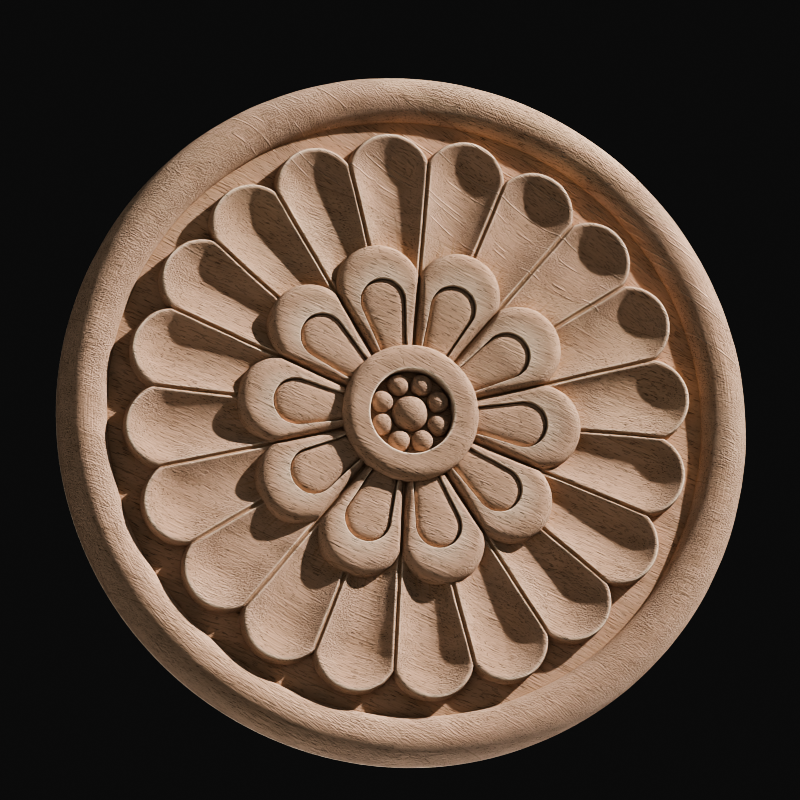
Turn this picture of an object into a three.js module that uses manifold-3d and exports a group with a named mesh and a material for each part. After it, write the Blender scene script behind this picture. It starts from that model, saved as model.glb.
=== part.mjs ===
// A round carved wooden rosette: a board with a raised half-round rim, a wheel of cupped petals, a smaller
// wheel of raised petals with teardrop buttons, and a boss whose recess holds a cluster of beads.
// It is one piece of wood. Millimetres, +Z up. The back lies in the plane Y = 0 and the carving faces -Y.
import * as THREE from "three";
import { mergeVertices } from "three/addons/utils/BufferGeometryUtils.js";
import Module from "manifold-3d";

// Board and rim
const boardRadius = 160;
const fieldThickness = 10; // from the flat back to the sunk field
const sideHeight = 6.9; // straight outer edge, below the round of the rim
const rimWidth = 22.2;
const rimHeight = 8; // crest of the rim above the field
const fieldBand = 7.5; // bare field between the rim's foot and the petals

// Both wheels of petals rise outwards, like a very flat cone
const riseOutwards = 0.09;

// Outer petals
const outerCount = 20;
const outerRound = 18.6; // radius of a petal's rounded end
const outerGap = 1.6; // between the edges of two neighbours
const outerTipHeight = 8.5; // edge above the field at the tip
const outerTipEdge = 1.6; // width of the worn edge between wall and cup, at the tip
const outerSideEdge = 0.8; // and along the sides
const outerEdgeDrop = 0.5;
const outerDraft = 1.9; // how far a petal's foot stands out beyond its edge
const cupEnd = 22; // from the cup's deepest place to its rounded end
const cupShare = 0.76; // depth of a cup, as a share of its edge's height above the field
const cupRings = [0.88, 0.55]; // rings of a cup's facets, as shares of the way from its deepest place out

// Inner petals
const innerCount = 10;
const innerReach = 79.8; // from the rosette's centre to a petal's tip
const innerRound = 20;
const innerGap = 0.8;
const innerTipHeight = 9.6; // top above the field, carried on to the tip
const innerDraft = 0.7;
const shoulderWidth = 7;
const shoulderDrop = 5.6;
const shoulderAngles = [0, 30, 60, 90]; // degrees around the shoulder, from the wall to the top
const mostTowards = 0.9; // the most that a ring moves, as a share of the way to the outline it aims at

// Teardrop groove on an inner petal, and the button inside it
const grooveReach = 63.6;
const grooveRound = 10.7; // rounded end, which the straight sides leave smoothly, aimed at the centre
const grooveWallSlope = 0.3;
const grooveDepth = 3.4;
const buttonShoulder = 5; // width of the button's rounded side
const buttonDrop = 0.3; // button's crown below the petal's top
const buttonAngles = [0, 35, 65, 90]; // degrees around the button's side, from the groove's foot to its top

// Boss and beads
const bossRadius = 31.5;
const bossHeight = 9.6; // top above the field
const bossShoulderWidth = 7;
const bossShoulderDrop = 5;
const bossLip = 0.8; // rounding of the edge of its recess
const bossShoulderSteps = 4;
const bossLipSteps = 2;
const recessRadius = 19.3;
const recessFloor = 1; // above the field
const bigBeadRadius = 8.3;
const bigBeadTop = 9.6; // above the field
const smallBeadCount = 8;
const smallBeadRadius = 5;
const smallBeadTop = 8; // above the field
const smallBeadGap = 0.3; // between a small bead and the wall of the recess

// Turn of the wheels, in degrees from +X towards +Z
const wheelTurn = 13.1; // of a joint between two petals
const beadTurn = 22.5; // of a small bead

// Fineness of the facets
const rimSteps = 64;
const rimArcSteps = 8;
const outerArcSteps = 10;
const outerSideSteps = 2;
const innerArcSteps = 10;
const innerSideSteps = 1;
const bossSteps = 36;
const bigBeadSteps = 14;
const smallBeadSteps = 8;
const rootDepth = 1; // how deep each form is rooted in the board, so that all of it is one body
const sliverWidth = 0.02; // facets narrower than this are merged into their neighbours
const cleaningRounds = 4;

const woodColour = 0xcfa982;
const rimFootRadius = boardRadius - rimWidth;
const outerReach = rimFootRadius - fieldBand;
const rootLevel = fieldThickness - rootDepth;
const rimTop = fieldThickness + rimHeight;
const petalRoot = (bossRadius + recessRadius) / 2;
const smallBeadCircle = recessRadius - smallBeadGap - smallBeadRadius;
const degree = Math.PI / 180;

const manifold = await Module();
manifold.setup();

// Makes a solid of a closed surface whose points lie doubled at its seams and poles
function solidFrom(geometry) {
  geometry.deleteAttribute("normal");
  geometry.deleteAttribute("uv");
  const merged = mergeVertices(geometry, 1e-4);
  const index = Array.from(merged.index.array);
  const kept = [];
  for (let i = 0; i < index.length; i += 3) {
    const [a, b, c] = index.slice(i, i + 3);
    if (a !== b && b !== c && c !== a) kept.push(a, b, c);
  }
  return new manifold.Manifold(
    new manifold.Mesh({
      numProp: 3,
      vertProperties: new Float32Array(merged.attributes.position.array),
      triVerts: new Uint32Array(kept),
    }),
  );
}

// A turned solid from its profile, listed anticlockwise in (radius, height) and ending on the axis
function turned(profile, steps) {
  const geometry = new THREE.LatheGeometry(profile, steps);
  geometry.rotateX(Math.PI / 2);
  return solidFrom(geometry);
}

// Points on a quarter or half of an ellipse in (radius, height), from one angle to another
function arcPoints(centreX, centreY, radiusX, radiusY, from, to, steps) {
  const points = [];
  for (let i = 0; i <= steps; i++) {
    const angle = (from + ((to - from) * i) / steps) * degree;
    points.push(new THREE.Vector2(centreX + radiusX * Math.cos(angle), centreY + radiusY * Math.sin(angle)));
  }
  return points;
}

// Outline of a wedge with a rounded end, pointing along +X and grown outwards by "grow".
// Its straight sides run at halfAngle on either side of the axis, drawn in by "inset".
function wedgeOutline({ reach, round, halfAngle, inset, root, arcSteps, sideSteps }, grow) {
  const centre = reach - round;
  const radius = round + grow;
  const away = inset - grow; // distance from the wedge's own radial line
  // where the rounded end meets the straight side
  const aside = centre * Math.sin(halfAngle) - away;
  const along = centre * Math.cos(halfAngle) + Math.sqrt(Math.max(0, radius ** 2 - aside ** 2));
  const jointX = along * Math.cos(halfAngle) + away * Math.sin(halfAngle);
  const jointY = along * Math.sin(halfAngle) - away * Math.cos(halfAngle);
  const jointAngle = Math.atan2(jointY, jointX - centre);
  const rootY = root * Math.tan(halfAngle) - away / Math.cos(halfAngle);
  const half = [];
  for (let i = 0; i < arcSteps / 2; i++) {
    const angle = (jointAngle * i) / (arcSteps / 2);
    half.push(new THREE.Vector2(centre + radius * Math.cos(angle), radius * Math.sin(angle)));
  }
  for (let i = 0; i <= sideSteps; i++) {
    const share = i / sideSteps;
    half.push(new THREE.Vector2(jointX + (root - jointX) * share, jointY + (rootY - jointY) * share));
  }
  const mirrored = half.slice(1).reverse();
  return [...half, ...mirrored.map((point) => new THREE.Vector2(point.x, -point.y))];
}

// A closed solid through rings with equal numbers of points, from its root up and in to one top point
function stacked(rings, topPoint) {
  const count = rings[0].length;
  const positions = rings.flat().flatMap((point) => [point.x, point.y, point.z]);
  const middle = rings[0].reduce((sum, point) => sum.add(point), new THREE.Vector3()).divideScalar(count);
  positions.push(middle.x, middle.y, middle.z, topPoint.x, topPoint.y, topPoint.z);
  const bottom = rings.length * count;
  const top = bottom + 1;
  const last = (rings.length - 1) * count;
  const index = [];
  for (let i = 0; i < count; i++) {
    const next = (i + 1) % count;
    index.push(bottom, next, i);
    for (let ring = 0; ring < last; ring += count) {
      index.push(ring + i, ring + next, ring + count + next);
      index.push(ring + i, ring + count + next, ring + count + i);
    }
    index.push(last + i, last + next, top);
  }
  const geometry = new THREE.BufferGeometry();
  geometry.setAttribute("position", new THREE.Float32BufferAttribute(positions, 3));
  geometry.setIndex(index);
  return geometry;
}

// Lifts each point of a flat outline to its height
function raised(outline, height) {
  return outline.map((point) => new THREE.Vector3(point.x, point.y, height(point)));
}

// The board with its rim, whose round runs lower down on the outside than on the field's side
function boardSolid() {
  const half = rimWidth / 2;
  const crest = boardRadius - half;
  const outerRise = rimTop - sideHeight;
  const outerArc = arcPoints(crest, sideHeight, half, outerRise, 0, 90, rimArcSteps / 2);
  const innerArc = arcPoints(crest, fieldThickness, half, rimHeight, 90, 180, rimArcSteps / 2);
  const profile = [
    new THREE.Vector2(0, 0),
    new THREE.Vector2(boardRadius, 0),
    ...outerArc,
    ...innerArc.slice(1),
    new THREE.Vector2(0, fieldThickness),
  ];
  return turned(profile, rimSteps);
}

// One cupped petal: a drafted wall, a narrow worn edge that rises outwards, and a spoon-shaped hollow
function outerPetal() {
  const halfAngle = Math.PI / outerCount;
  const wedge = {
    reach: outerReach,
    round: outerRound,
    halfAngle,
    inset: outerGap / 2,
    root: petalRoot,
    arcSteps: outerArcSteps,
    sideSteps: outerSideSteps,
  };
  const hollow = {
    ...wedge,
    reach: outerReach - outerTipEdge,
    round: outerRound - outerTipEdge,
    inset: outerGap / 2 + outerSideEdge,
  };
  const deepest = new THREE.Vector2(outerReach - cupEnd, 0);
  const edgeHeight = (point) => outerTipHeight - riseOutwards * (outerReach - point.length());
  const cupHeight = (point) => {
    const halfWidth = point.x * Math.tan(halfAngle) - hollow.inset / Math.cos(halfAngle);
    const across = Math.min(1, Math.abs(point.y) / halfWidth);
    const end = hollow.reach - hollow.round + Math.sqrt(Math.max(0, hollow.round ** 2 - point.y ** 2));
    const outwards = THREE.MathUtils.clamp((point.x - deepest.x) / (end - deepest.x), 0, 1);
    const depth = cupShare * (1 - across ** 2) * Math.sqrt(1 - outwards ** 2);
    return fieldThickness + edgeHeight(point) * (1 - depth);
  };
  const crest = wedgeOutline(hollow, 0);
  const rings = [
    raised(wedgeOutline(wedge, outerDraft), () => rootLevel),
    raised(wedgeOutline(wedge, 0), (point) => fieldThickness + edgeHeight(point) - outerEdgeDrop),
    raised(crest, (point) => fieldThickness + edgeHeight(point)),
  ];
  for (const share of cupRings) {
    const ring = crest.map((point) => deepest.clone().lerp(point, share));
    rings.push(raised(ring, cupHeight));
  }
  return stacked(rings, new THREE.Vector3(deepest.x, deepest.y, cupHeight(deepest)));
}

// Moves each point of an outline towards its partner on another, at most by a share of the way
function towards(outline, goal, distance, mostShare) {
  return outline.map((point, i) => {
    const share = Math.min(distance / point.distanceTo(goal[i]), mostShare);
    return point.clone().lerp(goal[i], share);
  });
}

// One raised petal: rounded shoulders, a teardrop groove on its top, and a domed button inside the groove
function innerPetal() {
  const wedge = {
    reach: innerReach,
    round: innerRound,
    halfAngle: Math.PI / innerCount,
    inset: innerGap / 2,
    root: petalRoot,
    arcSteps: innerArcSteps,
    sideSteps: innerSideSteps,
  };
  const grooveCentre = grooveReach - grooveRound;
  const teardrop = {
    ...wedge,
    reach: grooveReach,
    round: grooveRound,
    halfAngle: Math.asin(grooveRound / grooveCentre),
    inset: 0,
  };
  const foot = wedgeOutline(wedge, innerDraft);
  const edge = wedgeOutline(wedge, 0);
  const groove = wedgeOutline(teardrop, 0);
  const ridge = groove.map((point) => new THREE.Vector2(Math.min(point.x, grooveCentre), 0));
  const topLevel = (point) => fieldThickness + innerTipHeight - riseOutwards * (innerReach - point.length());
  const below = (outline, drop) => raised(outline, (point) => topLevel(point) - drop);
  const rings = [raised(foot, () => rootLevel)];
  for (const angle of shoulderAngles) {
    const inwards = 1 - Math.cos(angle * degree);
    const outline = towards(edge, groove, shoulderWidth * inwards, mostTowards * inwards);
    rings.push(below(outline, shoulderDrop * (1 - Math.sin(angle * degree))));
  }
  rings.push(below(groove, 0));
  for (const angle of buttonAngles) {
    const inwards = grooveWallSlope + buttonShoulder * (1 - Math.cos(angle * degree));
    const rise = (grooveDepth - buttonDrop) * Math.sin(angle * degree);
    rings.push(below(towards(groove, ridge, inwards, mostTowards), grooveDepth - rise));
  }
  const crown = new THREE.Vector2(grooveCentre, 0);
  return stacked(rings, new THREE.Vector3(crown.x, crown.y, topLevel(crown) - buttonDrop));
}

// The boss is a turned ring around its recess
function bossSolid() {
  const top = fieldThickness + bossHeight;
  const floor = fieldThickness + recessFloor;
  const shoulderFoot = top - bossShoulderDrop;
  const shoulderStart = bossRadius - bossShoulderWidth;
  const width = bossShoulderWidth;
  const shoulder = arcPoints(shoulderStart, shoulderFoot, width, bossShoulderDrop, 0, 90, bossShoulderSteps);
  const lip = arcPoints(recessRadius + bossLip, top - bossLip, bossLip, bossLip, 90, 180, bossLipSteps);
  const wallFoot = new THREE.Vector2(recessRadius, floor);
  const outline = [
    new THREE.Vector2(0, rootLevel),
    new THREE.Vector2(bossRadius, rootLevel),
    ...shoulder,
    ...lip,
    wallFoot,
    new THREE.Vector2(0, floor),
  ];
  return turned(outline, bossSteps);
}

// A bead is a ball sunk into the recess floor, up to its stated top above the field
function bead(radius, topHeight, steps, distance, angle) {
  const ball = new THREE.SphereGeometry(radius, steps, steps / 2);
  ball.rotateX(Math.PI / 2);
  const level = fieldThickness + topHeight - radius;
  ball.translate(distance * Math.cos(angle), distance * Math.sin(angle), level);
  return solidFrom(ball);
}

function carvedSolid() {
  let body = boardSolid();
  const outer = outerPetal();
  const inner = innerPetal();
  for (let i = 0; i < outerCount; i++) {
    const angle = wheelTurn * degree + ((i + 0.5) * 2 * Math.PI) / outerCount;
    body = body.add(solidFrom(outer.clone().rotateZ(angle)));
  }
  for (let i = 0; i < innerCount; i++) {
    const angle = wheelTurn * degree + ((i + 0.5) * 2 * Math.PI) / innerCount;
    body = body.add(solidFrom(inner.clone().rotateZ(angle)));
  }
  body = body.add(bossSolid());
  body = body.add(bead(bigBeadRadius, bigBeadTop, bigBeadSteps, 0, 0));
  for (let i = 0; i < smallBeadCount; i++) {
    const angle = beadTurn * degree + (i * 2 * Math.PI) / smallBeadCount;
    body = body.add(bead(smallBeadRadius, smallBeadTop, smallBeadSteps, smallBeadCircle, angle));
  }
  return body;
}

// Makes the two ends of a very short edge one point, where only the two facets beside it close up
function withoutShortEdges(triangles, points) {
  const neighbours = points.map(() => new Set());
  const edges = triangles.flatMap(([a, b, c]) => [[a, b], [b, c], [c, a]]);
  for (const [from, to] of edges) {
    neighbours[from].add(to);
    neighbours[to].add(from);
  }
  const movedTo = points.map((_, i) => i);
  const busy = new Set();
  for (const [from, to] of edges) {
    const shared = [...neighbours[from]].filter((point) => neighbours[to].has(point));
    const tooLong = points[from].distanceTo(points[to]) > sliverWidth;
    if (tooLong || shared.length !== 2 || busy.has(from) || busy.has(to)) continue;
    movedTo[to] = from;
    for (const point of [...neighbours[from], ...neighbours[to]]) busy.add(point);
  }
  const renamed = triangles.map((triangle) => triangle.map((corner) => movedTo[corner]));
  return renamed.filter(([a, b, c]) => a !== b && b !== c && c !== a);
}

// Turns the long edge of every sliver, so that its far corner becomes a corner of the facet next to it
function withoutSlivers(triangles, points) {
  const owner = new Map();
  const key = (from, to) => from * points.length + to;
  triangles.forEach(([a, b, c], i) => {
    owner.set(key(a, b), i).set(key(b, c), i).set(key(c, a), i);
  });
  const changed = new Set();
  const result = triangles.slice();
  const facet = new THREE.Triangle();
  triangles.forEach((corners, i) => {
    const lengths = corners.map((corner, j) => points[corner].distanceTo(points[corners[(j + 1) % 3]]));
    const longest = lengths.indexOf(Math.max(...lengths));
    const [a, b, c] = [0, 1, 2].map((j) => corners[(longest + j) % 3]);
    const width = (2 * facet.set(points[a], points[b], points[c]).getArea()) / lengths[longest];
    const neighbour = owner.get(key(b, a));
    if (width > sliverWidth || changed.has(i) || changed.has(neighbour)) return;
    const d = triangles[neighbour].find((corner) => corner !== a && corner !== b);
    if (owner.has(key(c, d)) || owner.has(key(d, c))) return;
    result[i] = [c, a, d];
    result[neighbour] = [d, b, c];
    owner.set(key(c, d), neighbour).set(key(d, c), i);
    changed.add(i).add(neighbour);
  });
  return result;
}

function geometryFrom(body) {
  const mesh = body.getMesh();
  const points = [];
  for (let i = 0; i < mesh.vertProperties.length; i += 3) {
    points.push(new THREE.Vector3().fromArray(mesh.vertProperties, i));
  }
  let triangles = [];
  for (let i = 0; i < mesh.triVerts.length; i += 3) triangles.push(Array.from(mesh.triVerts.slice(i, i + 3)));
  for (let round = 0; round < cleaningRounds; round++) {
    triangles = withoutSlivers(withoutShortEdges(triangles, points), points);
  }
  const geometry = new THREE.BufferGeometry();
  geometry.setAttribute("position", new THREE.BufferAttribute(mesh.vertProperties, 3));
  geometry.setIndex(triangles.flat());
  geometry.computeVertexNormals();
  return geometry;
}

const wood = new THREE.MeshStandardMaterial({ color: woodColour, roughness: 0.75, metalness: 0 });
const rosette = new THREE.Mesh(geometryFrom(carvedSolid()), wood);
rosette.name = "rosette";
rosette.rotation.x = Math.PI / 2; // from lying face up to standing upright, face to -Y

const part = new THREE.Group();
part.add(rosette);

export default part;
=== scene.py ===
# %% [markdown]
# # A carved wooden rosette
# The object is one round board of pale hardwood with a flower carved into its face: a half-round rim, twenty
# cupped petals, ten raised petals with teardrop buttons, and a boss that holds nine beads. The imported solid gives
# its place and size. This script cuts the same flower again in fine facets, so that edges, hollows and grooves
# look carved, and gives it raw wood.

import math

import bmesh
import bpy
import numpy as np
from mathutils import Matrix, Vector, noise


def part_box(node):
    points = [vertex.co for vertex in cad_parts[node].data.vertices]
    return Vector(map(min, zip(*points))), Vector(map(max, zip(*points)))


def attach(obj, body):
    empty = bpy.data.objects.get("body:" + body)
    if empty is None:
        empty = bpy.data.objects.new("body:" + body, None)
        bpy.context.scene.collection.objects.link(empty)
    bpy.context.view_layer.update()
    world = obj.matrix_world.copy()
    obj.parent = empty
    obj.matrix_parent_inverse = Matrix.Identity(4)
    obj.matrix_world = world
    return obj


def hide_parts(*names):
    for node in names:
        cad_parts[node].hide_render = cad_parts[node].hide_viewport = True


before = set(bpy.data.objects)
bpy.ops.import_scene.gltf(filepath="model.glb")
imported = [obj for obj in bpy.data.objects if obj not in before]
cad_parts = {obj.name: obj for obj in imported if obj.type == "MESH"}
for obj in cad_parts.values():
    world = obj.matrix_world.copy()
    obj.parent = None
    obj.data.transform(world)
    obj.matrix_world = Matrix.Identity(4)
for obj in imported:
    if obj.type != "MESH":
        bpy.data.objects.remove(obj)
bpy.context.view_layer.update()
low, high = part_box("rosette")
board_radius = (high.x - low.x) / 2
full_depth = high.y - low.y
mm = board_radius / 160
print("radius", round(board_radius, 4), "depth", round(full_depth, 4))

# %% [markdown]
# ## Rings of points
# Every carved form here is a stack of closed rings, from its root in the board up to its top. A ring is an outline
# in the plane of the face, and each of its points has a height above the back. Rings with equal numbers of points
# are joined by strips of facets, which gives clean, closed surfaces that follow the carved edges exactly.

# %% Build a closed mesh from a stack of rings
def to_row(points):
    """From the face's own (right, up, out) to the row frame, where the face looks along -Y."""
    return np.stack([points[:, 0], -points[:, 2], points[:, 1]], axis=1)


def stacked(name, rings, top):
    """A closed solid through the rings, from the root ring to one top point."""
    count = len(rings[0])
    bottom = np.mean(rings[0], axis=0)
    points = np.vstack([*rings, bottom, top])
    around = np.arange(count)
    after = (around + 1) % count
    faces = [(len(points) - 2, b, a) for a, b in zip(around, after)]
    for ring in range(len(rings) - 1):
        here = ring * count
        for a, b in zip(around, after):
            faces.append((here + a, here + b, here + count + b, here + count + a))
    last = (len(rings) - 1) * count
    faces += [(last + a, last + b, len(points) - 1) for a, b in zip(around, after)]
    mesh = bpy.data.meshes.new(name)
    mesh.from_pydata(to_row(points).tolist(), [], [tuple(map(int, face)) for face in faces])
    piece = bpy.data.objects.new(name, mesh)
    bpy.context.scene.collection.objects.link(piece)
    return piece


def with_height(outline, height):
    """Gives the points of a flat outline their heights."""
    return np.column_stack([outline, np.broadcast_to(height, len(outline))])


def turned(name, profile, steps):
    """A turned solid from its profile in (radius, height), from the axis below to the axis above."""
    angles = np.arange(steps) * 2 * np.pi / steps
    circle = np.column_stack([np.cos(angles), np.sin(angles)])
    rings = [with_height(circle * radius, height) for radius, height in profile[1:-1]]
    return stacked(name, rings, np.array([0, 0, profile[-1][1]]))


def arc(centre, radii, start, end, steps, power=2):
    """Points of an ellipse's arc in (radius, height), from one angle in degrees to another.

    A power under 2 draws the arc in between its ends, so that a crest gets a little more pointed.
    """
    angles = np.radians(np.linspace(start, end, steps + 1))
    bulge = (np.abs(np.cos(angles)) ** power + np.abs(np.sin(angles)) ** power) ** (-1 / power)
    return [(centre[0] + radii[0] * b * np.cos(a), centre[1] + radii[1] * b * np.sin(a))
            for a, b in zip(angles, bulge)]


print("a ring of four points becomes", to_row(np.ones((4, 3))).shape)

# %% [markdown]
# ## Board and rim
# The board was turned or routed round first. Its rim is a half-round whose outer side runs lower than its inner
# one, because the field inside it was sunk to a little more than half of the board. The rim's inner foot is a
# clean step, where the chisel ran around it.

# %% Turn the board with its rim
field = 10 * mm
rim_width = 22.2 * mm
rim_top = field + 8 * mm
side_height = 6.9 * mm
rim_foot = board_radius - rim_width
rim_crest = board_radius - rim_width / 2
arris = 0.5 * mm

board_profile = [(0, 0), (board_radius - arris, 0), (board_radius, arris), (board_radius, side_height / 2)]
board_profile += arc((rim_crest, side_height), (rim_width / 2, rim_top - side_height), 0, 90, 16, 1.75)
board_profile += arc((rim_crest, field), (rim_width / 2, rim_top - field), 90, 180, 16, 1.75)[1:]
board_profile += [(rim_foot - width * mm, field) for width in (2, 4.5, 7, 10)]
board_profile += [(0, field)]
board = turned("board", board_profile, 256)
print("board", len(board.data.vertices), "points")

# %% [markdown]
# ## Outline of a petal
# Each petal is a wedge that points outwards: two straight sides that run at half of the petal's angle on either
# side of its middle line, drawn in by half a gap, and a round end that meets them. The same outline, grown or
# drawn in, gives a petal's foot, its edge and the edge of its hollow.

# %% Work out the outline of a wedge with a rounded end
def wedge_outline(wedge, grow, arc_steps, side_steps):
    """A closed outline that points along +X, grown outwards by a width, with equal point counts for every growth."""
    centre = wedge["reach"] - wedge["round"]
    radius = wedge["round"] + grow
    away = wedge["inset"] - grow
    sine, cosine = math.sin(wedge["half_angle"]), math.cos(wedge["half_angle"])
    aside = centre * sine - away
    along = centre * cosine + math.sqrt(max(0, radius**2 - aside**2))
    joint = np.array([along * cosine + away * sine, along * sine - away * cosine])
    joint_angle = math.atan2(joint[1], joint[0] - centre)
    root = np.array([wedge["root"], wedge["root"] * sine / cosine - away / cosine])
    angles = joint_angle * np.arange(arc_steps) / arc_steps
    rounded = np.column_stack([centre + radius * np.cos(angles), radius * np.sin(angles)])
    shares = np.linspace(0, 1, side_steps + 1)[:, None]
    half = np.vstack([rounded, joint + (root - joint) * shares])
    return np.vstack([half, (half[1:] * (1, -1))[::-1]])


print("outlines are ready")

# %% [markdown]
# ## Outer petals
# An outer petal is a spoon. Its edge is a narrow worn band that rises outwards, a steep wall drops from it to the
# field, and the hollow inside deepens towards the tip and comes up again in a short round end. The hollow's cross
# section is a shallow parabola, as a gouge leaves it. Two neighbours' walls meet in a narrow V. The hollow is a
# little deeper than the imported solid's, because the shadows in the photograph reach that far.

# %% Shape one outer petal
boss_radius = 31.5 * mm
recess_radius = 19.3 * mm
petal_root = (boss_radius + recess_radius) / 2
root_level = field - 1 * mm

outer_count = 20
outer_reach = rim_foot - 7.5 * mm
outer_round = 18.6 * mm
outer_gap = 1.6 * mm
outer_tip_height = 8.5 * mm
outer_rise = 0.082
tip_edge = 1.6 * mm
side_edge = 0.8 * mm
edge_drop = 0.5 * mm
outer_draft = 1.2 * mm
side_draft = 2.2 * mm
cup_end = 22 * mm
cup_share = 0.86


def outer_edge_height(points):
    """Height of an outer petal's edge above the field."""
    return outer_tip_height - outer_rise * (outer_reach - np.hypot(points[:, 0], points[:, 1]))


def outer_petal():
    steps = (28, 22)
    wedge = {"reach": outer_reach, "round": outer_round, "half_angle": math.pi / outer_count,
             "inset": outer_gap / 2, "root": petal_root}
    hollow = dict(wedge, reach=outer_reach - tip_edge, round=outer_round - tip_edge,
                  inset=outer_gap / 2 + side_edge)
    deepest = np.array([outer_reach - cup_end, 0])
    foot = wedge_outline(dict(wedge, inset=wedge["inset"] - side_draft + outer_draft), outer_draft, *steps)
    edge = wedge_outline(wedge, 0, *steps)
    crest = wedge_outline(hollow, 0, *steps)
    edge_level = field + outer_edge_height(edge)
    wall_top = edge_level - edge_drop
    halfway_down = with_height(edge + (foot - edge) * 0.7, field + (wall_top - field) * 0.35)
    rings = [with_height(foot, root_level), halfway_down]
    for share, depth in ((0.4, 0.9 * mm), (0.25, 0.55 * mm), (0.1, 0.2 * mm), (0, 0)):
        rings.append(with_height(edge + (foot - edge) * share, wall_top - depth))
    for angle in np.radians([35, 65, 90]):
        outline = edge + (crest - edge) * 0.5 * (1 - math.cos(angle))
        rings.append(with_height(outline, edge_level - edge_drop * (1 - math.sin(angle))))
    rings.append(with_height(crest, field + outer_edge_height(crest)))
    for reach in (0.985, 0.955, 0.91, 0.85, 0.77, 0.68, 0.57, 0.45, 0.31, 0.16):
        ring = deepest + (crest - deepest) * reach
        half_width = ring[:, 0] * math.tan(hollow["half_angle"]) - hollow["inset"] / math.cos(hollow["half_angle"])
        across = np.minimum(1, np.abs(ring[:, 1]) / half_width)
        end = hollow["reach"] - hollow["round"] + np.sqrt(np.maximum(0, hollow["round"] ** 2 - ring[:, 1] ** 2))
        outwards = np.clip((ring[:, 0] - deepest[0]) / (end - deepest[0]), 0, 1)
        depth = cup_share * (1 - across**2) * np.cos(outwards * math.pi / 2)
        rings.append(with_height(ring, field + outer_edge_height(ring) * (1 - depth)))
    bottom = field + outer_edge_height(deepest[None])[0] * (1 - cup_share)
    return stacked("outer_petals", rings, np.array([*deepest, bottom]))


outer_petals = outer_petal()
print("outer petal", len(outer_petals.data.vertices), "points")

# %% [markdown]
# ## Inner petals
# An inner petal is a pillow with a rounded shoulder. A teardrop groove is cut into its top with a nearly upright
# outer wall, and what is left inside the groove is rounded over into a button. Near the boss there is little room
# between the groove and the petal's side, so the shoulder narrows there. The petals end 0.8 mm below the solid's
# highest plane, which gives the shadows that they throw in the photograph.

# %% Shape one inner petal
inner_count = 10
inner_reach = 79.8 * mm
inner_round = 20 * mm
inner_gap = 0.8 * mm
inner_tip_height = full_depth - field - 0.8 * mm
inner_rise = 0.09
inner_draft = 0.7 * mm
shoulder_width = 7 * mm
shoulder_drop = 5.6 * mm
groove_reach = 63.6 * mm
groove_round = 10.7 * mm
groove_wall = 0.3 * mm
groove_depth = 3.4 * mm
button_shoulder = 5 * mm
button_drop = 0.3 * mm
most_towards = 0.9


def towards(outline, goal, distance, most_share):
    """Moves each point towards its partner on another outline, at most by a share of the way."""
    way = goal - outline
    share = np.minimum(distance / np.hypot(way[:, 0], way[:, 1]), most_share)
    return outline + way * share[:, None]


def inner_petal():
    steps = (28, 18)
    groove_centre = groove_reach - groove_round
    wedge = {"reach": inner_reach, "round": inner_round, "half_angle": math.pi / inner_count,
             "inset": inner_gap / 2, "root": petal_root}
    teardrop = dict(wedge, reach=groove_reach, round=groove_round, inset=0,
                    half_angle=math.asin(groove_round / groove_centre))
    foot = wedge_outline(wedge, inner_draft, *steps)
    edge = wedge_outline(wedge, 0, *steps)
    groove = wedge_outline(teardrop, 0, *steps)
    ridge = np.column_stack([np.minimum(groove[:, 0], groove_centre), np.zeros(len(groove))])

    def below_top(outline, drop):
        top = field + inner_tip_height - inner_rise * (inner_reach - np.hypot(outline[:, 0], outline[:, 1]))
        return with_height(outline, top - drop)

    rings = [with_height(foot, root_level)]
    for angle in np.radians(np.linspace(0, 90, 10)):
        inwards = 1 - math.cos(angle)
        outline = towards(edge, groove, shoulder_width * inwards, most_towards * inwards)
        rings.append(below_top(outline, shoulder_drop * (1 - math.sin(angle))))
    rings.append(below_top(towards(groove, edge, 0.7 * mm, 0.1), 0))
    rings.append(below_top(towards(groove, edge, 0.25 * mm, 0.05), 0))
    rings.append(below_top(groove, 0.25 * mm))
    for angle in np.radians([0, 12, 24, 36, 48, 60, 75, 90]):
        inwards = groove_wall + button_shoulder * (1 - math.cos(angle))
        rise = (groove_depth - button_drop) * math.sin(angle)
        rings.append(below_top(towards(groove, ridge, inwards, most_towards), groove_depth - rise))
    crown = np.array([[groove_centre, 0.0]])
    return stacked("inner_petals", rings, below_top(crown, button_drop)[0])


inner_petals = inner_petal()
print("inner petal", len(inner_petals.data.vertices), "points")

# %% [markdown]
# ## Boss and beads
# The boss is a thick ring around a round recess. Nine beads stand on the recess floor, one large and eight small.
# They were rounded over by hand with a small gouge, so each is a little out of round.

# %% Turn the boss
boss_top = field + 9.6 * mm
recess_floor = field + 1 * mm
boss_shoulder = (6 * mm, 4.6 * mm)
boss_lip = 0.8 * mm

boss_profile = [(0, root_level), (boss_radius, root_level)]
boss_profile += arc((boss_radius - boss_shoulder[0], boss_top - boss_shoulder[1]), boss_shoulder, 0, 90, 14)
boss_profile += [(recess_radius + width * mm, boss_top) for width in (4, 2.6, 1.5)]
boss_profile += arc((recess_radius + boss_lip, boss_top - boss_lip), (boss_lip, boss_lip), 90, 180, 5)
boss_profile += [(recess_radius, recess_floor), (0, recess_floor)]
boss = turned("boss", boss_profile, 144)
print("boss", len(boss.data.vertices), "points")


# %% Shape the beads
def bead(name, radius, top, steps, distance):
    """A ball whose top stands at a height above the field, at a distance along +X."""
    level = field + top - radius
    profile = arc((0, level), (radius, radius), -90, 90, steps // 2)
    piece = turned(name, profile, steps)
    piece.data.transform(Matrix.Translation((distance, 0, 0)))
    return piece


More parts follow.
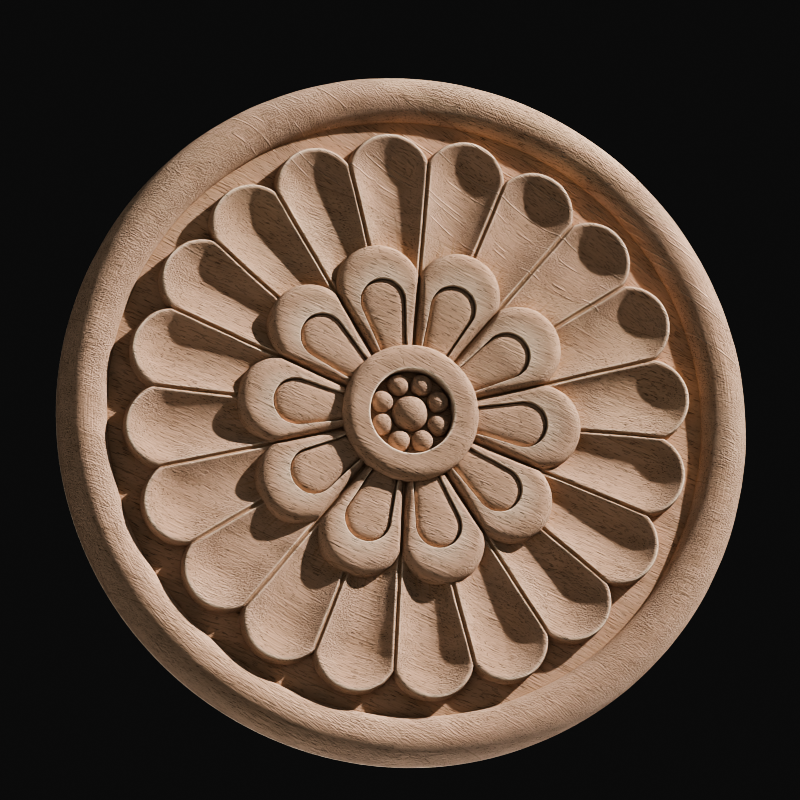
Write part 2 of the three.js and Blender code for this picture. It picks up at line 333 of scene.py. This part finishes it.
small_bead_radius = 5.05 * mm
small_bead_circle = recess_radius - 0.3 * mm - small_bead_radius
big_bead = bead("big_bead", 8.5 * mm, 9.6 * mm, 44, 0)
small_beads = bead("small_beads", small_bead_radius, 8 * mm, 32, small_bead_circle)
print("beads", len(big_bead.data.vertices), len(small_beads.data.vertices), "points")

# %% [markdown]
# ## Helpers for node trees
# Petals and beads are repeated by nodes, and the wood is painted by nodes. Both kinds of tree are built with the
# same few helpers: one adds a node and feeds it, and the others are short names for the nodes that are used most.

# %% Add helpers for node trees
class Tree:
    """Adds nodes to a node tree. An input is given as a value or as the socket that feeds it."""

    def __init__(self, tree):
        self.tree = tree

    def add(self, kind, inputs=None, **settings):
        node = self.tree.nodes.new(kind)
        for name, value in settings.items():
            setattr(node, name, value)
        for name, value in (inputs or {}).items():
            if isinstance(value, bpy.types.NodeSocket):
                self.tree.links.new(value, node.inputs[name])
            else:
                node.inputs[name].default_value = value
        return node

    def math(self, operation, *values):
        return self.add("ShaderNodeMath", dict(enumerate(values)), operation=operation).outputs[0]

    def vector(self, operation, *values, output=0):
        return self.add("ShaderNodeVectorMath", dict(enumerate(values)), operation=operation).outputs[output]

    def noise(self, vector, scale, detail=2.0, roughness=0.5):
        inputs = {"Vector": vector, "Scale": scale, "Detail": detail, "Roughness": roughness}
        return self.add("ShaderNodeTexNoise", inputs).outputs["Fac"]

    def step(self, value, start, end):
        """Rises smoothly from 0 to 1 as the value goes from start to end."""
        inputs = {"Value": value, "From Min": start, "From Max": end}
        node = self.add("ShaderNodeMapRange", inputs, interpolation_type="SMOOTHSTEP")
        return node.outputs[0]

    def mix(self, share, first, second):
        node = self.add("ShaderNodeMix", data_type="RGBA")
        for index, value in ((0, share), (6, first), (7, second)):
            if isinstance(value, bpy.types.NodeSocket):
                self.tree.links.new(value, node.inputs[index])
            else:
                node.inputs[index].default_value = value
        return node.outputs[2]


def new_group(name, kind, inputs, outputs):
    """A node group with the named inputs and outputs, and the sockets of its first and last node."""
    group = bpy.data.node_groups.new(name, kind)
    for label, value in inputs.items():
        group.interface.new_socket(label, in_out="INPUT", socket_type="NodeSocket" + value)
    for label, value in outputs.items():
        group.interface.new_socket(label, in_out="OUTPUT", socket_type="NodeSocket" + value)
    source = group.nodes.new("NodeGroupInput")
    result = group.nodes.new("NodeGroupOutput")
    return group, Tree(group), source.outputs, result.inputs


print("helpers for node trees are ready")

# %% [markdown]
# ## Repeat petals and beads around the centre
# The same small node group makes each wheel. It turns copies of one form around the axis that stands out of the
# face, changes each copy's height a little, as hand work does, and joins the copies into one closed body.

# %% Build the node group that makes a wheel
wheel, t, given, made = new_group(
    "Wheel of copies", "GeometryNodeTree",
    {"Geometry": "Geometry", "Count": "Int", "Turn": "Float", "Unevenness": "Float", "Seed": "Int",
     "Material": "Material"},
    {"Geometry": "Geometry"})
points = t.add("GeometryNodePoints", {"Count": given["Count"]}).outputs[0]
index = t.add("GeometryNodeInputIndex").outputs[0]
angle = t.math("MULTIPLY_ADD", index, t.math("DIVIDE", -2 * math.pi, given["Count"]), given["Turn"])
euler = t.add("ShaderNodeCombineXYZ", {"Y": angle}).outputs[0]
rotation = t.add("FunctionNodeEulerToRotation", {0: euler}).outputs[0]
least = t.math("SUBTRACT", 1, given["Unevenness"])
uneven = t.add("FunctionNodeRandomValue", {2: least, 3: 1, "Seed": given["Seed"]}, data_type="FLOAT").outputs[1]
scale = t.add("ShaderNodeCombineXYZ", {"X": 1, "Y": uneven, "Z": 1}).outputs[0]
copies = t.add("GeometryNodeInstanceOnPoints", {"Points": points, "Instance": given["Geometry"],
                                                "Rotation": rotation, "Scale": scale}).outputs[0]
joined = t.add("GeometryNodeMeshBoolean", {"Mesh": copies}, operation="UNION", solver="MANIFOLD").outputs[0]
real = t.add("GeometryNodeRealizeInstances", {0: joined}).outputs[0]
finished = t.add("GeometryNodeSetMaterial", {"Geometry": real, "Material": given["Material"]}).outputs[0]
t.tree.links.new(finished, made["Geometry"])
print("wheel group:", len(wheel.nodes), "nodes")


# %% Make the wheels
def as_plain_mesh(piece):
    """Replaces a piece's mesh by what its modifiers make of it."""
    evaluated = piece.evaluated_get(bpy.context.evaluated_depsgraph_get())
    made = bpy.data.meshes.new_from_object(evaluated)
    piece.modifiers.clear()
    piece.data = made
    return piece


def make_wheel(piece, group, material, **values):
    """Repeats a piece around the centre with the node group's named inputs."""
    modifier = piece.modifiers.new("wheel", "NODES")
    modifier.node_group = group
    sockets = {s.name: s.identifier for s in group.interface.items_tree if s.in_out == "INPUT"}
    modifier[sockets["Material"]] = material
    for name, value in values.items():
        modifier[sockets[name]] = value
    return as_plain_mesh(piece)


wood = bpy.data.materials.new("raw_wood")
wheel_turn = math.radians(13.1)
bead_turn = math.radians(22.5)
make_wheel(outer_petals, wheel, wood, Count=outer_count, Turn=-(wheel_turn + math.pi / outer_count),
           Unevenness=0.01, Seed=3)
make_wheel(inner_petals, wheel, wood, Count=inner_count, Turn=-(wheel_turn + math.pi / inner_count),
           Unevenness=0.006, Seed=5)
make_wheel(small_beads, wheel, wood, Count=8, Turn=-bead_turn, Unevenness=0.03, Seed=8)
print("wheels", len(outer_petals.data.polygons), len(inner_petals.data.polygons), len(small_beads.data.polygons))


# %% Join everything into one body
def join_into(body, part):
    """Joins a part to the body and removes the part."""
    modifier = body.modifiers.new("join", "BOOLEAN")
    modifier.operation = "UNION"
    modifier.solver = "MANIFOLD"
    modifier.object = part
    as_plain_mesh(body)
    bpy.data.objects.remove(part)
    return body


rosette = board
for part in (outer_petals, inner_petals, boss, big_bead, small_beads):
    join_into(rosette, part)
rosette.name = "carved_rosette"
rosette.data.name = "carved_rosette"
checked = bmesh.new()
checked.from_mesh(rosette.data)
open_edges = sum(1 for edge in checked.edges if not edge.is_manifold)
triangles = sum(len(f.verts) - 2 for f in checked.faces)
checked.free()
print("joined:", triangles, "triangles,", open_edges, "open edges")

# %% [markdown]
# ## Marks of hand work
# No edge on the real carving is a perfect circle or line. The whole surface is shifted a little by slow noise, in
# the plane of the face and in height, so edges wander by a few tenths of a millimetre. The beads are too small for
# the finest of it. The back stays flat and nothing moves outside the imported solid's box. Blender's noise starts
# from the clock unless it is given a seed, so it gets one, and every run makes the same carving.

# %% Let the carved surface wander a little
def slow_noise(points, wavelength, offset):
    """A smooth vector for each point, about one unit long at most."""
    shift = Vector(offset)
    return np.array([noise.noise_vector(Vector(p) / wavelength + shift) for p in points])


wander_seed = 3
noise.seed_set(wander_seed)
count = len(rosette.data.vertices)
points = np.empty(count * 3)
rosette.data.vertices.foreach_get("co", points)
points = points.reshape(-1, 3)
depth_share = np.clip(-points[:, 1] / (4 * mm), 0, 1)[:, None]
wander = 0.22 * mm * slow_noise(points, 22 * mm, (3.1, 7.7, 1.9))
wander += 0.09 * mm * slow_noise(points, 6 * mm, (9.4, 2.3, 5.6))
on_beads = np.hypot(points[:, 0], points[:, 2]) < recess_radius
finest = np.where(on_beads, 0.01 * mm, 0.07 * mm)[:, None]
wander += finest * slow_noise(points, 2.2 * mm, (4.2, 8.8, 0.7))
points += wander * depth_share
radius = np.hypot(points[:, 0], points[:, 2])
pull_in = np.minimum(1, (board_radius - 0.02 * mm) / np.maximum(radius, 1e-9))
points[:, (0, 2)] *= pull_in[:, None]
points[:, 1] = np.clip(points[:, 1], -full_depth, 0)
rosette.data.vertices.foreach_set("co", points.ravel())
rosette.data.update()
print("largest shift", round(float(np.abs(wander).max()) / mm, 2), "mm")

# %% [markdown]
# ## Soft and hard edges
# Rounded forms are shaded smoothly, and edges that the chisel left sharp stay sharp.

# %% Mark the sharp edges
rosette.data.shade_smooth()
sharp_from = 32
rosette.data.set_sharp_from_angle(angle=math.radians(sharp_from))
print("edges over", sharp_from, "degrees stay sharp")

# %% [markdown]
# ## Pale edges with a painted highlight, and grooves with painted shade
# Thin edges are painted pale: partly the rubbed wear of raw wood, partly a painted highlight where the light catches
# them. Narrow grooves are painted darker and warmer, which is painted shade. How much the surface bends at each point
# says which is which: it is measured on the mesh, evened out a little between neighbours, and kept as two numbers for
# each point, which the material reads.

# %% Measure how the surface bends at each point
def surface_bend(mesh, rounds):
    """How much the surface bends at each point, per millimetre: positive on edges and negative in grooves."""
    count = len(mesh.vertices)
    co, normal = np.empty(count * 3), np.empty(count * 3)
    mesh.vertices.foreach_get("co", co)
    mesh.vertices.foreach_get("normal", normal)
    co, normal = co.reshape(-1, 3), normal.reshape(-1, 3)
    ends = np.empty(len(mesh.edges) * 2, dtype=np.int64)
    mesh.edges.foreach_get("vertices", ends)
    a, b = ends.reshape(-1, 2).T
    way = co[b] - co[a]
    length = np.maximum(np.linalg.norm(way, axis=1), 0.2 * mm)
    bend = np.einsum("ij,ij->i", normal[b] - normal[a], way) / length**2 * mm
    near = np.exp(-length / (2 * mm))
    weight = np.bincount(a, near, count) + np.bincount(b, near, count)
    value = (np.bincount(a, bend * near, count) + np.bincount(b, bend * near, count)) / weight
    for _ in range(rounds):
        total = np.bincount(a, value[b] * near, count) + np.bincount(b, value[a] * near, count)
        value = (value + total / weight) / 2
    return value


bend = surface_bend(rosette.data, 2)
# The first number marks convex edges for pale wear and a painted highlight, the second marks grooves for painted
# shade.
for name, values in (("wear_and_highlight", bend - 0.2), ("hollow", -bend)):
    attribute = rosette.data.attributes.new(name, "FLOAT", "POINT")
    attribute.data.foreach_set("value", np.clip(values / 0.4, 0, 1).astype(np.float32))
print("bend per mm, least and most", round(float(bend.min()), 2), round(float(bend.max()), 2))

# %% [markdown]
# ## Raw wood
# The board is glued up from staves of a pale, pinkish tan hardwood, like rubberwood. Its grain runs down to the
# right at 24 degrees. Each stave has its own tone. The grain itself is drawn in three dimensions, so that it runs
# through the board: where the carving cuts along the fibres it shows long dark pores and streaks, and where it cuts
# across them it shows their ends. The nodes below work in millimetres along the grain, through the board's
# thickness, and across the grain.

# %% [markdown]
# ### Staves and grain direction
# A stave is about 53 mm wide. The joints are straight, and the grain wanders gently inside each stave. Each stave
# reads its grain from another place, so nothing runs on across a joint. In the stave at the upper right the grain
# lies 11 degrees steeper, and its hard lines stand proud.

# %% Node group: place in the grain
grain_angle = math.radians(-24)
along_grain = (math.cos(grain_angle), 0, math.sin(grain_angle))
across_grain = (-math.sin(grain_angle), 0, math.cos(grain_angle))
stave_width = 53
first_joint = 28
stave_shift = 400
grain_wander = 9
steep_stave = 1
steeper = 0.19

board_group, t, given, made = new_group(
    "Staves and grain", "ShaderNodeTree", {"Place": "Vector"},
    {"Grain": "Vector", "Tone": "Float", "Joint": "Float", "Steep": "Float"})
in_mm = t.vector("MULTIPLY", given["Place"], (1000, 1000, 1000))
along = t.vector("DOT_PRODUCT", in_mm, along_grain, output=1)
across = t.vector("DOT_PRODUCT", in_mm, across_grain, output=1)
depth = t.add("ShaderNodeSeparateXYZ", {0: in_mm}).outputs[1]
staves = t.math("DIVIDE", t.math("SUBTRACT", across, first_joint), stave_width)
stave = t.math("FLOOR", staves)
tone = t.add("ShaderNodeTexWhiteNoise", {"W": stave}, noise_dimensions="1D").outputs["Value"]
from_joint = t.math("ABSOLUTE", t.math("SUBTRACT", t.math("FRACT", t.math("ADD", staves, 0.5)), 0.5))
joint = t.step(from_joint, 0.35 / stave_width, 0.1 / stave_width)
wander = t.math("MULTIPLY", t.math("SUBTRACT", t.noise(given["Place"], 16, 1), 0.5), grain_wander)
steep = t.math("COMPARE", stave, steep_stave, 0.5)
leaned = t.math("MULTIPLY_ADD", t.math("MULTIPLY", along, steep), steeper, across)
moved_across = t.math("ADD", leaned, t.math("ADD", wander, t.math("MULTIPLY", tone, stave_shift)))
moved_depth = t.math("ADD", depth, t.math("MULTIPLY", wander, 0.4))
grain = t.add("ShaderNodeCombineXYZ", {0: along, 1: moved_depth, 2: moved_across}).outputs[0]
t.tree.links.new(grain, made["Grain"])
t.tree.links.new(tone, made["Tone"])
t.tree.links.new(joint, made["Joint"])
t.tree.links.new(steep, made["Steep"])
print("staves and grain:", len(board_group.nodes), "nodes")

# %% [markdown]
# ### Pores and fibres
# Pores are dark dashes, three to five millimetres long and under half a millimetre wide. They lie in loose bands.
# Smaller open pits between them have little colour of their own, but the grazing light picks them out. Finer still
# are the fibres, in long streaks. Hard lines of grain stand proud in broken runs, one line in two at random.

# %% Node group: pores and fibres
pore_group, t, given, made = new_group(
    "Pores and fibres", "ShaderNodeTree", {"Grain": "Vector"},
    {"Pores": "Float", "Pits": "Float", "Fibres": "Float", "Ridges": "Float", "Bands": "Float"})


def along_the_grain(tree, grain, length, width, detail=1.0, roughness=0.5):
    """Noise whose patches are about so long along the grain and so wide across it, in millimetres."""
    return tree.noise(tree.vector("DIVIDE", grain, (length, width, width)), 1.0, detail, roughness)


pore_cell = (8, 0.8, 0.8)
line_spacing = 2.6
cells = t.vector("DIVIDE", given["Grain"], pore_cell)
spots = t.add("ShaderNodeTexVoronoi", {"Vector": cells, "Scale": 1.0, "Randomness": 1.0}).outputs["Distance"]
bands = along_the_grain(t, given["Grain"], 90, 6, 2)
pores = t.math("MULTIPLY", t.step(spots, 0.27, 0.15), t.math("MULTIPLY_ADD", t.step(bands, 0.35, 0.62), 0.7, 0.3))
t.tree.links.new(pores, made["Pores"])
t.tree.links.new(t.step(along_the_grain(t, given["Grain"], 3.4, 0.65), 0.38, 0.33), made["Pits"])
t.tree.links.new(along_the_grain(t, given["Grain"], 18, 0.9, 2, 0.6), made["Fibres"])
across = t.math("DIVIDE", t.add("ShaderNodeSeparateXYZ", {0: given["Grain"]}).outputs[2], line_spacing)
chosen = t.add("ShaderNodeTexWhiteNoise", {"W": t.math("FLOOR", across)}, noise_dimensions="1D").outputs["Value"]
from_middle = t.math("ABSOLUTE", t.math("SUBTRACT", t.math("FRACT", across), 0.5))
line = t.math("MULTIPLY", t.step(from_middle, 0.17, 0.05), t.math("GREATER_THAN", chosen, 0.5))
broken = t.step(along_the_grain(t, given["Grain"], 12, 9), 0.42, 0.55)
t.tree.links.new(t.math("MULTIPLY", line, broken), made["Ridges"])
t.tree.links.new(bands, made["Bands"])
print("pores and fibres:", len(pore_group.nodes), "nodes")

# %% [markdown]
# ### Torn and fuzzy grain
# A cutter tears the fibres where the surface climbs against them. Such places stand rough, in short strokes along
# the grain. The rim is also torn where it runs up and down, and on the slopes that face down in the photograph,
# where the cutter went against the grain. The back is sawn plain, so the rim's marks start above its foot.

# %% Node group: torn grain
rim_starts, rim_full = 136, 142
stroke_size = (4.2, 0.66, 0.66)
torn_group, t, given, made = new_group(
    "Torn grain", "ShaderNodeTree", {"Grain": "Vector", "Place": "Vector", "Against": "Float", "Upwards": "Float"},
    {"Height": "Float", "Torn": "Float"})
strokes = t.noise(t.vector("DIVIDE", given["Grain"], stroke_size), 1.0, 2, 0.7)
patches = t.noise(given["Place"], 38, 2, 0.6)
in_mm = t.vector("MULTIPLY", given["Place"], (1000, 1000, 1000))
place = t.add("ShaderNodeSeparateXYZ", {0: in_mm})
radius = t.vector("LENGTH", t.add("ShaderNodeCombineXYZ", {0: place.outputs[0], 2: place.outputs[2]}).outputs[0],
                  output=1)
rim = t.math("MULTIPLY", t.step(radius, rim_starts, rim_full), t.step(place.outputs[1], -1, -3))
upright = t.math("DIVIDE", t.math("ABSOLUTE", place.outputs[2]), radius)
sideways = t.math("MULTIPLY", rim, t.step(upright, 0.8, 0.3))
lower = t.math("MULTIPLY", rim, t.step(given["Upwards"], -0.05, -0.5))
against = t.math("MULTIPLY_ADD", given["Against"], 0.38, t.math("MULTIPLY", sideways, 0.1))
against = t.math("MULTIPLY_ADD", lower, 0.15, against)
torn = t.step(t.math("ADD", against, patches), 0.5, 0.8)
fuzz = t.noise(given["Place"], 1600, 1, 0.5)
t.tree.links.new(torn, made["Torn"])
print("torn grain:", len(torn_group.nodes), "nodes")

# %% [markdown]
# ### Marks of the cutter on the rim
# The rim was shaped by a turning cutter. It left faint lines along its path around the rim, and fine chatter across
# it where it met the grain at the top and the bottom. The last lines add up all that stands proud in this group.

# %% The same node group: chatter, path marks and fuzz
chatter_length = 4.5
chatter_width = 0.55
path_width = 0.75


def chatter(tree, direction, where):
    """Fine strokes that lean by an angle in degrees, where a mask allows them."""
    angle = math.radians(direction)
    along = tree.vector("DOT_PRODUCT", in_mm, (math.cos(angle), 0, math.sin(angle)), output=1)
    across = tree.vector("DOT_PRODUCT", in_mm, (-math.sin(angle), 0, math.cos(angle)), output=1)
    spot = {0: tree.math("DIVIDE", along, chatter_length), 1: tree.math("DIVIDE", across, chatter_width),
            2: tree.math("DIVIDE", place.outputs[1], chatter_length)}
    strokes = tree.noise(tree.add("ShaderNodeCombineXYZ", spot).outputs[0], 1.0, 1, 0.5)
    return tree.math("MULTIPLY", strokes, tree.math("MULTIPLY", where, rim))


height_up = t.math("DIVIDE", place.outputs[2], radius)
top = chatter(t, -62, t.step(height_up, 0.5, 0.85))
bottom = chatter(t, -40, t.step(height_up, -0.4, -0.8))
direction = t.vector("DIVIDE", in_mm, t.add("ShaderNodeCombineXYZ", {0: radius, 1: radius, 2: radius}).outputs[0])
direction = t.add("ShaderNodeSeparateXYZ", {0: direction})
around = {0: t.math("MULTIPLY", direction.outputs[0], 9), 1: t.math("MULTIPLY", direction.outputs[2], 9),
          2: t.math("DIVIDE", t.math("MULTIPLY_ADD", place.outputs[1], 0.8, radius), path_width)}
path = t.noise(t.add("ShaderNodeCombineXYZ", around).outputs[0], 1.0, 1, 0.5)
height = t.math("MULTIPLY", strokes, t.math("MULTIPLY_ADD", torn, 0.8, 0.2))
height = t.math("ADD", height, t.math("MULTIPLY", t.math("MULTIPLY", path, rim), 0.4))
fuzziness = t.math("MULTIPLY_ADD", torn, 0.25, t.math("MULTIPLY_ADD", lower, 0.45, t.math("MULTIPLY", rim, 0.05)))
height = t.math("ADD", height, t.math("MULTIPLY", fuzz, fuzziness))
chatters = t.math("MULTIPLY_ADD", top, 0.4, t.math("MULTIPLY", bottom, 0.6))
t.tree.links.new(t.math("ADD", height, chatters), made["Height"])
print("with the rim's marks:", len(torn_group.nodes), "nodes")

# %% [markdown]
# ### The wood itself
# The colours are those of raw, unfinished wood: a pale tan with pinker and yellower staves and brown pores. Edges are
# painted paler, partly as rubbed wear and partly as a painted highlight, and grooves get painted shade, darker and
# warmer. It has no polish, so it is rough all over, and its pores, pits, fibres, torn grain and proud lines also
# raise or lower the surface.

# %% Give the wood its material
wood.use_nodes = True
t = Tree(wood.node_tree)
shader = wood.node_tree.nodes["Principled BSDF"]
place = t.add("ShaderNodeTexCoord").outputs["Object"]
normal = t.add("ShaderNodeNewGeometry").outputs["Normal"]
against = t.math("ABSOLUTE", t.vector("DOT_PRODUCT", normal, along_grain, output=1))
board_nodes = t.add("ShaderNodeGroup", node_tree=board_group)
t.tree.links.new(place, board_nodes.inputs["Place"])
grain = board_nodes.outputs["Grain"]
pore_nodes = t.add("ShaderNodeGroup", node_tree=pore_group)
t.tree.links.new(grain, pore_nodes.inputs["Grain"])
torn_nodes = t.add("ShaderNodeGroup", node_tree=torn_group)
t.tree.links.new(grain, torn_nodes.inputs["Grain"])
t.tree.links.new(place, torn_nodes.inputs["Place"])
t.tree.links.new(against, torn_nodes.inputs["Against"])
upwards = t.vector("DOT_PRODUCT", normal, across_grain, output=1)
t.tree.links.new(upwards, torn_nodes.inputs["Upwards"])
# Convex edges get a painted highlight together with pale wear.
wear_and_highlight = t.add("ShaderNodeAttribute", attribute_name="wear_and_highlight").outputs["Fac"]
# Grooves get painted shade, darker and warmer.
hollow = t.add("ShaderNodeAttribute", attribute_name="hollow").outputs["Fac"]
proud_in_stave = t.math("MULTIPLY_ADD", board_nodes.outputs["Steep"], 0.8, 0.12)
proud = t.math("MULTIPLY", pore_nodes.outputs["Ridges"], proud_in_stave)
print("masks come from", len(wood.node_tree.nodes), "nodes")

# %% Paint the wood, one mask over the other
colour = t.mix(board_nodes.outputs["Tone"], (0.695, 0.492, 0.37, 1), (0.675, 0.504, 0.365, 1))
paints = (
    (t.step(pore_nodes.outputs["Bands"], 0.35, 0.7), 1, (0.62, 0.433, 0.314)),
    (t.step(pore_nodes.outputs["Fibres"], 0.5, 0.72), 0.35, (0.48, 0.335, 0.235)),
    (pore_nodes.outputs["Pits"], 0.35, (0.36, 0.25, 0.18)),
    (torn_nodes.outputs["Torn"], 0.3, (0.56, 0.41, 0.32)),
    (proud, 0.5, (0.84, 0.66, 0.52)),
    # painted shade: grooves darker and warmer
    (hollow, 0.4, (0.5, 0.3, 0.16)),
    # painted highlight and pale wear on convex edges
    (wear_and_highlight, 0.9, (1.0, 0.87, 0.72)),
    (pore_nodes.outputs["Pores"], 0.6, (0.19, 0.12, 0.08)),
    (board_nodes.outputs["Joint"], 0.35, (0.36, 0.23, 0.15)),
)
for mask, strength, paint in paints:
    colour = t.mix(t.math("MULTIPLY", mask, strength), colour, (*paint, 1))
t.tree.links.new(colour, shader.inputs["Base Color"])
shader.inputs["Roughness"].default_value = 0.85
shader.inputs["Specular IOR Level"].default_value = 0.25
shader.inputs["Diffuse Roughness"].default_value = 1.0
print("paints", len(paints))

# %% Raise and lower the surface
height = t.math("MULTIPLY_ADD", torn_nodes.outputs["Height"], 1.1, t.math("MULTIPLY", proud, 0.8))
for output, rise in (("Fibres", 0.3), ("Pits", -0.9), ("Pores", -0.6)):
    height = t.math("MULTIPLY_ADD", pore_nodes.outputs[output], rise, height)
bump = t.add("ShaderNodeBump", {"Height": height, "Distance": 0.001, "Strength": 1.0})
t.tree.links.new(bump.outputs[0], shader.inputs["Normal"])
rosette.data.materials.clear()
rosette.data.materials.append(wood)
print("wood has", len(wood.node_tree.nodes), "nodes in all")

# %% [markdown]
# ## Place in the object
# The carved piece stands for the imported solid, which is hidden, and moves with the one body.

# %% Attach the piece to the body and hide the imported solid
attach(rosette, "root")
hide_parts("rosette")
print(rosette.name, "stands for rosette")

# %% [markdown]
# ## Studio
# The object stands in front of nothing, as in the photograph. A plain pale floor lies far below it and shows only in
# views from above.

# %% Set up the floor
floor_level = -0.62
floor_half = 3
floor_mesh = bpy.data.meshes.new("floor")
floor_corners = [(x * floor_half, y * floor_half, floor_level) for x, y in ((-1, -1), (1, -1), (1, 1), (-1, 1))]
floor_mesh.from_pydata(floor_corners, [], [(0, 1, 2, 3)])
floor = bpy.data.objects.new("floor", floor_mesh)
bpy.context.scene.collection.objects.link(floor)
pale = bpy.data.materials.new("pale_floor")
pale.use_nodes = True
pale.node_tree.nodes["Principled BSDF"].inputs["Base Color"].default_value = (0.7, 0.69, 0.67, 1)
pale.node_tree.nodes["Principled BSDF"].inputs["Roughness"].default_value = 0.8
floor_mesh.materials.append(pale)
print("floor at", floor_level)

# %% [markdown]
# ### Lights
# The photograph is lit by one hard light from the upper right that grazes the face, with little fill. The same
# light here is a spot with a small source, so that the petals throw crisp shadows across the field. Its cone is
# little wider than the object, so it leaves the pale floor alone. A weak warm fill comes from the lower left and a
# wide cool one from the front. A soft light from below and behind brightens the rim's lowest edge and shows the back
# in other views, and one overhead shows the floor.

# %% Set up the lights
def lamp(name, kind, energy, colour, place, target=(0, 0, 0), **settings):
    """Adds a light that looks from its place to a target."""
    data = bpy.data.lights.new(name, kind)
    data.energy = energy
    data.color = colour
    for setting, value in settings.items():
        setattr(data, setting, value)
    light = bpy.data.objects.new(name, data)
    bpy.context.scene.collection.objects.link(light)
    light.location = place
    light.rotation_euler = (Vector(place) - Vector(target)).to_track_quat("Z", "Y").to_euler()


key_direction = Vector((0.705, -0.352, 0.602)).normalized()
key_distance = 3.2
lamp("key", "SPOT", 868, (1, 0.955, 0.915), key_direction * key_distance, shadow_soft_size=0.042,
     spot_size=math.radians(9), spot_blend=0.25)
lamp("fill", "AREA", 5, (1, 0.94, 0.86), (-0.9, -0.25, -0.75), size=0.7)
lamp("front", "AREA", 8.5, (0.92, 1, 0.98), (-0.3, -2.6, 0.2), size=2.4)
lamp("behind", "SPOT", 21, (1, 0.96, 0.94), (0.12, 0.13, -0.6), shadow_soft_size=0.2,
     spot_size=math.radians(50), spot_blend=0.5)
lamp("overhead", "AREA", 12, (1, 1, 1), (0, 0.6, 2.2), target=(0, 0.4, -0.6), size=2)

world = bpy.data.worlds.new("studio")
bpy.context.scene.world = world
world.use_nodes = True
world.node_tree.nodes["Background"].inputs[0].default_value = (0.02, 0.02, 0.02, 1)
print("lights", len(bpy.data.lights))

# %% [markdown]
# ### Camera
# The camera stands low and to the left, about a metre and a half away, and looks along the photograph's line of
# sight, which the ellipses of the rim and the petals' tips gave. A narrow pixel filter keeps the fine grain as crisp
# as the photograph's, and a contrasty look gives its deep shadows.

# %% Set up the camera
camera_data = bpy.data.cameras.new("camera")
camera_data.lens = 146.2
camera_data.sensor_width = 36
camera = bpy.data.objects.new("camera", camera_data)
bpy.context.scene.collection.objects.link(camera)
right = Vector((0.98353, -0.17990, -0.01723))
up = Vector((-0.01723, -0.18826, 0.98197))
back = Vector((-0.17990, -0.96550, -0.18826))
line_of_sight = Vector((-0.27059, -1.44192, -0.27315))
framing = up * 0.0007 - right * 0.0002
turned_to = Matrix((right, up, back)).transposed().to_quaternion()
camera.matrix_world = Matrix.LocRotScale(line_of_sight + framing, turned_to, None)
bpy.context.scene.camera = camera
bpy.context.scene.cycles.filter_width = 1.05
bpy.context.scene.view_settings.view_transform = "AgX"
bpy.context.scene.view_settings.look = "AgX - Very High Contrast"
print("camera", round(camera.location.length, 3), "metres from the centre of the back")

# %% [markdown]
# ## Finish
# The view layer is brought up to date.

# %% Finish
bpy.context.view_layer.update()
